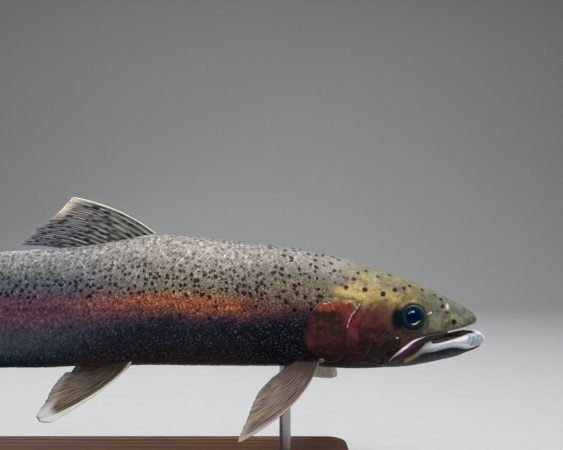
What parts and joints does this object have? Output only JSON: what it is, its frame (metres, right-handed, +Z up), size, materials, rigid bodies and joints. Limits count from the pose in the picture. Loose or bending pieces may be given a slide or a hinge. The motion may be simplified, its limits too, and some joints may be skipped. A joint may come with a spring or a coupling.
{
  "type": "rainbow trout display model",
  "caption": "Life-size still model of an adult rainbow trout swimming, held by two short rods on a flat display base.",
  "frame": {"origin": "middle of the display base's flat underside, on the surface it stands on", "axes": "+X towards the snout, +Y to the fish's left, +Z up"},
  "size_m": [0.5515, 0.1536, 0.2029],
  "materials": {
    "skin": "satin, wet-looking",
    "scale_coat": "satin, thin scales",
    "mouth_lining": "wet",
    "eye": "polished",
    "fin": "satin membrane over rays",
    "stand_wood": "oiled",
    "stand_steel": "brushed"
  },
  "bodies": {
    "root": {"head": "skin", "lower_jaw": "skin", "tongue": "mouth_lining", "gill_cover_right": "skin", "gill_cover_left": "skin", "maxilla_right": "skin", "maxilla_left": "skin", "eye_right": "eye", "eye_left": "eye", "trunk": "skin", "tail": "skin", "dorsal_fin": "fin", "adipose_fin": "fin", "caudal_fin": "fin", "anal_fin": "fin", "pelvic_fin_right": "fin", "pelvic_fin_left": "fin", "pectoral_fin_right": "fin", "pectoral_fin_left": "fin", "stand_base": "stand_wood", "stand_rod_front": "stand_steel", "stand_rod_rear": "stand_steel"}
  },
  "joints": []
}
